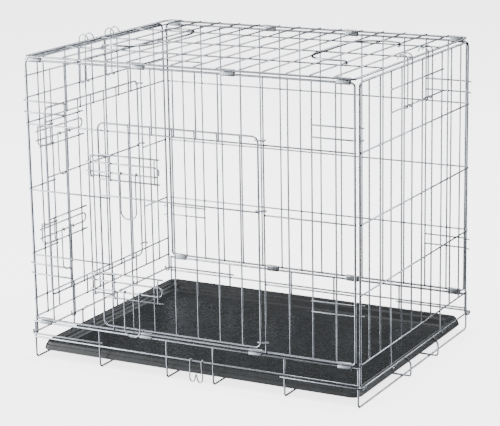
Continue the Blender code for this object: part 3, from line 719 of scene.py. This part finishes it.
# %% Right and left end panels
def end_panel(node, side, hinge_z, latches):
    """The arch, its hooks, uprights, rows, catches, keepers and welds."""
    w, u, full = END_X, columns(END_PITCH, END_COLUMNS), END_HALF + 0.0009
    corner = arc((END_HALF - 0.010, END_HEAD - 0.010), 0.010, 0, 90, 8)
    right, left = (np.vstack([hook_line(side, s * END_HALF, hinge_z)[::-1],
                              place(side, s * corner[:, 0], w, corner[:, 1])]) for s in (1, -1))
    parts = [tube(np.vstack([right, left[::-1]]), FRAME_R, 16)]
    hooked = np.abs(np.abs(u) - 2.5 * END_PITCH) < 0.001
    inner, edge = doorway(u, END_EDGE, bool(latches))
    top_of_low = LEFT_SILL + 0.001
    up = [(v, w, ROWS[2] - 0.001, END_HEAD) for v in u[inner]]
    up += [(v, w, SIDE_FOOT - 0.001, top_of_low) for v in u[inner & ~hooked]]
    up += [(v, w + 2 * LAYER, SIDE_FOOT - 0.001, UPPER_ROWS[1] + 0.001) for v in u[edge]]
    up += [(v, w, SIDE_FOOT - 0.001, END_HEAD) for v in u[~inner & ~edge & ~hooked]]
    hook_head = top_of_low if latches else END_HEAD
    hooks = [(v, w, hinge_z, hook_head) for v in u[hooked]]
    parts += [tube(np.vstack([place(side, v, w, hook_head)[None], hook_line(side, v, hinge_z)]), MESH_R, 12)
              for v in u[hooked]]
    rows = [(SIDE_FOOT, w + LAYER, -full, full), (ROWS[2], w + LAYER, -full, full)]
    if latches:
        rows += [(z, w + LAYER, *span) for z in ROWS[:2] for span in beside(END_EDGE, full)]
        rows += [(LEFT_SILL, w + LAYER, -full, full)]
    else:
        rows += [(z, w + LAYER, -full, full) for z in ROWS[:2]]
    reach = full if latches else 2.5 * END_PITCH + 0.002
    rows += [(z, w + LAYER, -reach, reach) for z in UPPER_ROWS]
    for z in latches or ():
        made, bars = keeper(side, w + LAYER, w + 2 * LAYER, END_EDGE, END_PITCH, z)
        parts, rows = parts + made, rows + bars
    parts += [catch(side, s, z) for z in PAIRS for s in (-1, 1)]
    legs = [(s * END_HALF, w, hinge_z, END_HEAD - 0.01) for s in (-1, 1)]
    parts += [upright_rods(side, up), bar_rods(side, rows),
              beads(side, *crossings(up + hooks, rows), MESH_R),
              beads(side, *crossings(legs, rows), FRAME_R * 0.95)]
    return piece("look_" + node, parts)


end_panel("right_end_panel", RIGHT, RIGHT_HINGE_Z, None)
end_panel("left_end_panel", LEFT, LEFT_HINGE_Z, LEFT_LATCHES)

# %% [markdown]
# ## The doors
#
# A door has its own rounded frame and lies on the outside of its doorway. Three curls of
# wire, one by the cross bar and one near each end, go round the doorway's edge wire as
# hinges. On the other side two bridges hold each slide bolt.

# %% Front door and end door
DOOR_OVERLAP, HINGE_SETBACK = 0.016, 0.008   # past the doorway at the latch side, short of it at the hinge


def door(node, side, pitch, edge, edge_w, foot, low_curl, latches):
    """Frame, six uprights, cross bars, guides and hinge curls."""
    w = door_plane(edge_w)
    up_w, bar_w = w - DOOR_INSET, w - DOOR_INSET + LAYER
    u0, u1 = -edge - DOOR_OVERLAP, edge - HINGE_SETBACK
    up = [(v, up_w, foot, DOOR_TOP) for v in columns(pitch, 6)]
    rows = [(DOOR_ROW, bar_w, u0, u1)]
    rows += [(z + s * LATCH_HALF, bar_w, u0, -0.045) for z in latches for s in (-1, 1)]
    guide_u = (-edge + 0.010, -0.051)
    guides = [bridge(side, v, bar_w, w + BOLT_OUT, z, LATCH_HALF) for z in latches for v in guide_u]
    spots = np.array([(v, z + s * LATCH_HALF) for z in latches for v in guide_u for s in (-1, 1)])
    ring = arc((edge, edge_w), CURL_R, 90, -150, 20)
    ring = np.vstack([(u1 - 0.006, edge_w + CURL_R), (u1 - 0.001, edge_w + CURL_R), ring])
    curls = [tube(place(side, ring[:, 0], ring[:, 1], z), CURL_WIRE, 12)
             for z in (low_curl, DOOR_ROW + 0.0024, DOOR_TOP - 0.0060)]
    rails = [(z, w, u0 + 0.01, u1 - 0.01) for z in (foot, DOOR_TOP)]
    stiles = [(v, w, foot + 0.01, DOOR_TOP - 0.01) for v in (u0, u1)]
    return piece("look_" + node, [
        flat_loop(side, w, (u0, foot), (u1, DOOR_TOP), 0.010, BASE_R),
        upright_rods(side, up), bar_rods(side, rows),
        beads(side, *crossings(up, rows), MESH_R), beads(side, *crossings(up, rails), BASE_R),
        beads(side, *crossings(stiles, rows), BASE_R),
        beads(side, spots[:, 0], bar_w, spots[:, 1], EYE_WIRE), *guides, *curls])


door("front_door", FRONT, PITCH, EDGE, FRONT_EDGE_W, 0.0810, 0.0900, FRONT_LATCHES)
door("side_door", LEFT, END_PITCH, END_EDGE, LEFT_EDGE_W, 0.0950, 0.1160, LEFT_LATCHES)

# %% [markdown]
# ## Slide bolts and their pulls
#
# A bolt is one wire bent into a long U on its side: both arms slide together, and both tips
# go behind the keeper. A second, narrower U hangs from the lower arm by open eyes, as the
# part that a finger lifts and slides.

# %% Bolts
def slide_bolt(node, side, edge, edge_w, z):
    """Two straight arms and half a turn between them."""
    w, tip = door_plane(edge_w) + BOLT_OUT, -edge - 0.040
    line = np.vstack([(tip, ARM_HALF), arc((-0.052, 0), ARM_HALF, 90, -90, 18), (tip, -ARM_HALF)])
    return piece("look_" + node, [tube(place(side, line[:, 0], w, z + line[:, 1]), BOLT_R, 16)])


def pull_loop(node, side, edge_w, z):
    """An open eye round the bolt's arm, down one leg, round the foot, and up to the other eye."""
    w, arm = door_plane(edge_w) + BOLT_OUT, z - ARM_HALF
    eye, foot, u0, u1, r = arc((w, arm), EYE_R, 225, 0, 16), z - 0.084, -0.118, -0.088, 0.013
    bend = np.vstack([arc((u0 + r, foot + r), r, 180, 270, 10), arc((u1 - r, foot + r), r, 270, 360, 10)])
    line = np.vstack([place(side, u0, eye[:, 0], eye[:, 1]), place(side, bend[:, 0], w + EYE_R, bend[:, 1]),
                      place(side, u1, eye[::-1, 0], eye[::-1, 1])])
    return piece("look_" + node, [tube(line, EYE_WIRE, 14)])


bolts = []
for door_name, side, edge, edge_w, latches in (("front_door", FRONT, EDGE, FRONT_EDGE_W, FRONT_LATCHES),
                                               ("side_door", LEFT, END_EDGE, LEFT_EDGE_W, LEFT_LATCHES)):
    for level, z in zip(("lower", "upper"), latches):
        bolts.append(slide_bolt(f"{door_name}_{level}_bolt", side, edge, edge_w, z))
        bolts.append(pull_loop(f"{door_name}_{level}_pull", side, edge_w, z))
print(len(bolts), "latch pieces")

# %% [markdown]
# ## Snap hooks and carry handles
#
# Each end panel is held by two springy hooks that turn on its lower short wire and snap
# over the top's end wire. The carry handles are the thickest loose wires: wide flat Us that
# lie on the top and turn on one of its cross wires.

# %% Snap hooks
HOOK_HALF, HOOK_Y, HOOK_CURL_R = 0.0095, 0.043, 0.0092


def snap_hook(node, side, y):
    """From the curl over the top, down one leg, under the wire, across and back up."""
    wire_x, wire_z = END_X + LAYER, UPPER_ROWS[0]
    wrap = MESH_R + EYE_PLAY + EYE_WIRE
    over = arc((wire_x + wrap - HOOK_CURL_R, SIDE_HEAD + 0.0091), HOOK_CURL_R, 0, 174, 18)[::-1]
    under = arc((wire_x, wire_z), wrap, 0, -180, 12)
    leg = np.vstack([over, under])
    line = np.vstack([place(side, y - HOOK_HALF, leg[:, 0], leg[:, 1]),
                      place(side, y + HOOK_HALF, leg[::-1, 0], leg[::-1, 1])])
    return piece("look_" + node, [tube(line, EYE_WIRE, 14)])


for end, side in (("right", RIGHT), ("left", LEFT)):
    for spot, y in (("front", -HOOK_Y), ("rear", HOOK_Y)):
        snap_hook(f"{end}_snap_hook_{spot}", side, y)


# %% Carry handles
def carry_handle(node, sign):
    """An eye round the cross wire, then one smooth sweep to the middle, and its mirror image."""
    x, half, r = 5.5 * PITCH, 0.108, 0.0018
    reach = MESH_R + EYE_PLAY + r
    lie = max(TOP_CROSS + MESH_R + 0.0006 + r, TOP_CROSS + reach)
    eye = arc((x, TOP_CROSS), reach, 250, 440, 16)
    eye = flat(eye[:, 0], half, eye[:, 1])
    sweep = smooth(flat(x - np.array([0.012, 0.034, 0.056, 0.071, 0.078]),
                        half + np.array([0, 0.001, -0.006, -0.024, -0.050]), lie), 8)
    near = np.vstack([eye, sweep])
    line = np.vstack([near, near[::-1] * (1, -1, 1)]) * (sign, 1, 1)
    return piece("look_" + node, [tube(line, r, 16)])


carry_handle("carry_handle_right", 1)
carry_handle("carry_handle_left", -1)

# %% [markdown]
# ## The basket
#
# The base is a shallow basket. Six cross wires make its floor and turn up to the hinge
# rails, lengthwise wires turn up to the end rails, and the end rails come back along the
# sides. The middle rail holds a small W of wire that ties the folded crate shut.

# %% Basket base
def end_rail(sign, z):
    """Along one side, round the end and back along the other side."""
    w, r = HALF_WID + BASE_LAYER, 0.008
    near = np.vstack([(0.56 * HALF_LEN, -w), arc((END_HINGE_X - r, -w + r), r, 270, 360, 10)])
    line = np.vstack([near, near[::-1] * (1, -1)])
    return flat(sign * line[:, 0], line[:, 1], z)


OUTER_X = END_HINGE_X + 2 * BASE_R - 0.0005   # middle of a wire that stands outside an end rail
FOOT_REACH = 0.0092                           # a lengthwise wire comes down this far beyond that


def floor_foot(hinge_z, floor_z):
    """One end of a lengthwise wire, seen from the side: from the end rail a soft shoulder leans
    out by FOOT_REACH and falls straight, and a quarter circle turns it in along the floor."""
    out, foot, bend = OUTER_X, OUTER_X + FOOT_REACH, 0.004
    return np.vstack([(out, hinge_z + 0.001), (out + 0.0005, hinge_z), (foot - 0.002, hinge_z - 0.0065),
                      (foot - 0.0005, hinge_z - 0.0090), (foot, hinge_z - 0.0115),
                      arc((foot - bend, floor_z + bend), bend, 0, -90, 8)])


print("end rails at", round(END_HINGE_X, 4), "and feet at", round(OUTER_X + FOOT_REACH, 4))


# %% Floor, rails and welds
def basket():
    """Cross wires, lengthwise wires, hinge rails, middle rails and end rails, with their welds."""
    w, r, mid, far = HALF_WID, CORNER_R, HALF_WID + BASE_LAYER, HALF_LEN + 0.0046
    inner_x, inner_y = np.array([0.1466, 0.583]) * HALF_LEN, 0.2553 * HALF_WID
    xs = np.concatenate([[-far], -inner_x[::-1], inner_x, [far]])
    half = np.vstack([(w, BASE_RAIL + 0.001), arc((w - r, BASE_R + r), r, 0, -90, 8)])
    line = np.vstack([half, half[::-1] * (-1, 1)])
    parts = [tube(flat(x, line[:, 0], line[:, 1]), BASE_R, 12) for x in xs]
    floor_z = BASE_LAYER + BASE_R
    line = np.vstack([floor_foot(LEFT_HINGE_Z, floor_z) * (-1, 1),
                      floor_foot(RIGHT_HINGE_Z, floor_z)[::-1]])
    side_y = np.array([-1, 1])
    ys = inner_y * side_y
    parts += [tube(flat(line[:, 0], y, line[:, 1]), BASE_R, 12) for y in ys]
    parts += [rods(flat(-far, side_y * w, BASE_RAIL), flat(far, side_y * w, BASE_RAIL), FRAME_R, 14),
              rods(flat(-far - 0.001, side_y * mid, MID_RAIL_Z), flat(far + 0.001, side_y * mid, MID_RAIL_Z),
                   BASE_R, 12),
              tube(end_rail(1, RIGHT_HINGE_Z), BASE_R, 12), tube(end_rail(-1, LEFT_HINGE_Z), BASE_R, 12)]
    gx, gy = np.meshgrid(xs, ys)
    parts.append(beads(LYING, gx, 2 * BASE_R - PRESSED / 2, gy, BASE_R))
    for side in (FRONT, REAR):
        parts += [beads(side, xs, (w + mid) / 2, MID_RAIL_Z, BASE_R),
                  beads(side, xs, w, BASE_RAIL, BASE_R * 1.1)]
        for sign, z in ((1, RIGHT_HINGE_Z), (-1, LEFT_HINGE_Z)):
            held = xs[sign * xs > 0.57 * HALF_LEN]
            parts.append(beads(side, held, (w + mid) / 2, z, BASE_R))
    parts += [beads(side, ys, (END_HINGE_X + OUTER_X) / 2, z, BASE_R)
              for side, z in ((RIGHT, RIGHT_HINGE_Z), (LEFT, LEFT_HINGE_Z))]
    return piece("look_base_basket", parts)


basket()


# %% Transit clip
def transit_clip():
    """Two eyes on the middle rail with a wavy W of wire hanging between them."""
    y, wrap = -(HALF_WID + BASE_LAYER), BASE_R + EYE_PLAY + EYE_WIRE
    eye = arc((y, MID_RAIL_Z), wrap, -40, 180, 16)
    hang = smooth([(0.004, 0.030), (0.0032, 0.020), (0.0025, 0.012), (0.004, 0.0060), (0.0085, 0.0038),
                   (0.0120, 0.0075), (0.0150, 0.0170), (0.0180, 0.0075), (0.0215, 0.0038), (0.026, 0.0060),
                   (0.0275, 0.012), (0.0268, 0.020), (0.026, 0.030)], 5)
    line = np.vstack([flat(0.004, eye[:, 0], eye[:, 1]), flat(hang[:, 0], y - wrap, hang[:, 1]),
                      flat(0.026, eye[::-1, 0], eye[::-1, 1])])
    return piece("look_transit_clip", [tube(line, EYE_WIRE, 12)])


transit_clip()

# %% [markdown]
# ## Rolled hinge clips
#
# Where two panels meet, a strip of sheet is rolled round both wires. Its section is a
# centreline with a thickness, so the strip is that closed section carried along the wire.
# The lips and the cut ends get a small radius, because raw sheet edges always catch light.

# %% Hinge clips
CLIP_SHEET, CLIP_LEN, CLIP_CLEAR = 0.0008, 0.024, 0.00035


def section(thick):
    """Round the upper wire, down the inside, round the lower wire and up to the seam; then
    half the thickness to each side of that line, with a rounded lip at both ends."""
    r = FRAME_R + CLIP_CLEAR + CLIP_SHEET / 2
    line = np.vstack([arc((0, RAIL_GAP), r, 20, 180, 18), arc((0, 0), r, 180, 360, 18),
                      [(r, RAIL_GAP * 0.3), (r, RAIL_GAP * 0.55)]])
    t = tangents(np.hstack([line, np.zeros((len(line), 1))]), False)[:, :2]
    n = np.stack([t[:, 1], -t[:, 0]], 1) * thick / 2
    lip = thick / 2 * 0.7
    return np.vstack([line + n, line[-1:] + t[-1:] * lip, (line - n)[::-1], line[:1] - t[:1] * lip])


def hinge_clip(node, x, sign, z_low):
    """Six copies of the section along x: the outer ones thinner, for the rounded cut ends."""
    along = np.array([0.0, 0.00012, 0.00035, CLIP_LEN - 0.00035, CLIP_LEN - 0.00012, CLIP_LEN])
    thick = np.array([0.55, 0.85, 1.0, 1.0, 0.85, 0.55]) * CLIP_SHEET
    rings = np.stack([section(t) for t in thick])
    count = rings.shape[1]
    points = flat(x + along[:, None] - CLIP_LEN / 2, sign * (HALF_WID + rings[..., 0]), z_low + rings[..., 1])
    return piece("look_" + node, [dict(points=points.reshape(-1, 3), quads=grid_faces(6, count),
                                       uv=grid_uv(along, count), caps=end_caps(6, count), weld=0.0)])


for n, k in enumerate((-1, -2 * PITCH, 2 * PITCH, 1), 1):
    x = k * (HALF_LEN - 0.019) if abs(k) == 1 else k
    front_x = 3 * PITCH if n == 3 else x
    hinge_clip(f"base_clip_front_{n}", front_x, -1, BASE_RAIL)
    hinge_clip(f"base_clip_rear_{n}", x, 1, BASE_RAIL)
    hinge_clip(f"top_clip_front_{n}", x, -1, SIDE_HEAD)
    hinge_clip(f"top_clip_rear_{n}", x, 1, SIDE_HEAD)

# %% [markdown]
# ## The tray
#
# The tray is one heated sheet drawn into a mould, so it is everywhere the same thickness and
# every corner is soft. Its wall, seen in section, goes down from the floor's edge over a
# ledge to a raised ridge and a stepped skirt. That section, with the thickness on its
# underside, is carried round a rounded rectangle.

# %% Tray
TRAY_FOOT, TRAY_SKIRT, TRAY_RIM, TRAY_WALL = 0.0062, 0.0134, 0.0284, 0.0020


def soften(line, times=2):
    """Chaikin's corner cutting: each segment keeps its middle half, and the ends stay."""
    for _ in range(times):
        a, b = line[:-1], line[1:]
        cut = np.stack([a * 0.75 + b * 0.25, a * 0.25 + b * 0.75], 1).reshape(-1, 2)
        line = np.vstack([line[:1], cut, line[-1:]])
    return line


def tray():
    """Rings of the closed section: over the top from the floor to the skirt, back underneath."""
    f, lip, top, t = TRAY_FOOT, TRAY_SKIRT, TRAY_RIM, TRAY_WALL
    upper = soften(np.array([
        (0.060, f + t), (0.034, f + t), (0.022, f + t + 0.001), (0.0170, top - 0.0075),
        (0.0125, top - 0.0065), (0.0100, top), (0.0050, top), (0.0035, top - 0.0060),
        (0.0020, top - 0.0070), (0.0008, lip + 0.0030), (0.0, lip + 0.0008), (0.0004, lip)]))
    lower = soften(np.array([
        (0.0018, lip), (0.0030, lip + 0.0034), (0.0040, top - 0.0090), (0.0056, top - 0.0078),
        (0.0066, top - 0.0020), (0.0084, top - 0.0020), (0.0108, top - 0.0082),
        (0.0155, top - 0.0094), (0.0210, f + 0.0008), (0.034, f), (0.060, f)]))
    profile = np.vstack([upper, lower])
    half = np.array([HALF_LEN + 0.0005, HALF_WID - 0.0085])
    steps = 11
    a = np.radians(np.concatenate([np.linspace(q, q + 90, steps) for q in (0, 90, 180, 270)]))
    turn = np.stack([np.cos(a), np.sin(a)], 1)
    corner = np.repeat([(1, 1), (-1, 1), (-1, -1), (1, -1)], steps, 0)
    r = np.maximum(0.016 - profile[:, :1] * 0.3, 0.008)[:, None]
    xy = corner * (half - profile[:, None, :1] - r) + turn * r
    points = np.concatenate([xy, np.broadcast_to(profile[:, None, 1:], (*xy.shape[:2], 1))], 2)
    rows, sides = xy.shape[:2]
    run = np.append(0, np.cumsum(np.linalg.norm(np.diff(profile, axis=0), axis=1)))
    return piece("look_tray", [dict(points=points.reshape(-1, 3), quads=grid_faces(rows, sides)[:, ::-1],
                                    uv=grid_uv(run, sides), caps=end_caps(rows, sides)[:, ::-1],
                                    weld=0.0)], sharp=60)


tray()

# %% [markdown]
# ## The studio
#
# Bright wire is a mirror one or two millimetres wide, so its look is whatever stands round
# it. On white paper under white light it would vanish. The cure is large soft lights for
# the highlights and dark space between them for the edges. The paper
# itself is kept out of the reflections, as if it were only just larger than the crate.

# %% Floor
def disc(radius, rings=6, sides=64):
    """A flat disc: rings of growing radius, closed in the middle."""
    c, s = circle(sides)
    r = np.linspace(0.02, 1, rings)[:, None] * radius
    return np.stack([r * c.T, r * s.T, np.full((rings, sides), -0.0003)], -1).reshape(-1, 3)


PAPER_GLOW, PAPER_BEYOND = 3.2, 4.2     # the paper's own light, and its brightness past the floor
floor_mesh = bpy.data.meshes.new("studio_floor")
floor_mesh.from_pydata(disc(30.0), [], grid_faces(6, 64)[:, ::-1].tolist() + [list(range(64))])
floor = bpy.data.objects.new("studio_floor", floor_mesh)
bpy.context.scene.collection.objects.link(floor)
floor.visible_glossy = False
paper = Finish("pale_paper", Roughness=0.9, Specular_IOR_Level=0.1, Emission_Color=(1, 1, 1, 1),
               Emission_Strength=PAPER_GLOW)
fibre = paper.noise(paper.node("ShaderNodeTexCoord", {}, output=3), 90.0, 3.0)
floor_mesh.materials.append(paper.feed(Base_Color=paper.mix(fibre, (0.90, 0.90, 0.90), (0.93, 0.93, 0.93))))
print("floor of", len(floor_mesh.polygons), "faces")

# %% Soft lights
def aimed(ob, place_at, direction):
    """Puts a light or camera at a place, looking along a direction."""
    ob.location = place_at
    ob.rotation_euler = Vector(direction).to_track_quat("-Z", "Y").to_euler()
    bpy.context.scene.collection.objects.link(ob)
    return ob


def softbox(name, place_at, aim_at, size, power, tint=(1, 1, 1)):
    """A square area light turned to a point, which the camera itself does not see."""
    data = bpy.data.lights.new(name, "AREA")
    data.size, data.energy, data.color = size, power, tint
    ob = aimed(bpy.data.objects.new(name, data), place_at, np.subtract(aim_at, place_at))
    ob.visible_camera = False
    return ob


softbox("overhead", (0.1, 0.3, 3.2), (0, 0, 0.3), 2.4, 110)
softbox("left_window", (-2.0, -1.3, 0.9), (0, 0, 0.3), 1.5, 60)
softbox("rear_edge", (1.4, 2.4, 1.6), (0, 0, 0.3), 1.2, 35, (0.93, 0.96, 1.0))

# %% World
def studio_world():
    """For reflections, bright where the direction points at the left window, the strip on the
    right or overhead, and dark between; behind the floor's edge, plain pale paper."""
    world = bpy.data.worlds.new("studio")
    bpy.context.scene.world = world
    t = Tree(world)
    look = t.node("ShaderNodeTexCoord", {}, output=0)

    def towards(direction, low, high):
        """A soft patch: 0 where the cosine to the direction is low, 1 where it is high."""
        facing = t.node("ShaderNodeVectorMath", dict(operation="DOT_PRODUCT"), look,
                        tuple(unit(np.array(direction, float))), output=1)
        return t.ramp(facing, low, high)

    glow = (towards((-0.95, -0.55, -0.15), 0.74, 0.96) * 5.0
            + towards((0.85, 0.50, -0.1), 0.86, 0.97) * 3.0
            + towards((0, 0, 1), 0.60, 0.97) * 1.8 + 0.01)
    eye = t.node("ShaderNodeLightPath", {}, output=0)
    colour = t.mix(eye, (0.92, 0.95, 1.0), (1.0, 1.0, 1.0))
    strength = eye * PAPER_BEYOND + (1 - eye) * glow
    back = t.nodes["Background"]
    t.links.new(colour.socket, back.inputs["Color"])
    t.links.new(strength.socket, back.inputs["Strength"])
    return world


print("world:", studio_world().name)

# %% Camera
VIEW_FROM, VIEW_ALONG, VIEW_ROLL = (1.471, -2.753, 1.011), (-0.4590, 0.8555, -0.2396), -0.99
lens = bpy.data.cameras.new("camera")
lens.lens, lens.sensor_width, lens.clip_start, lens.clip_end = 131.0, 36.0, 0.1, 60.0
camera = aimed(bpy.data.objects.new("camera", lens), Vector(VIEW_FROM) + Vector(CENTRE), VIEW_ALONG)
camera.rotation_euler.rotate_axis("Z", np.radians(VIEW_ROLL))
bpy.context.scene.camera = camera
print("camera at", [round(v, 3) for v in camera.location])
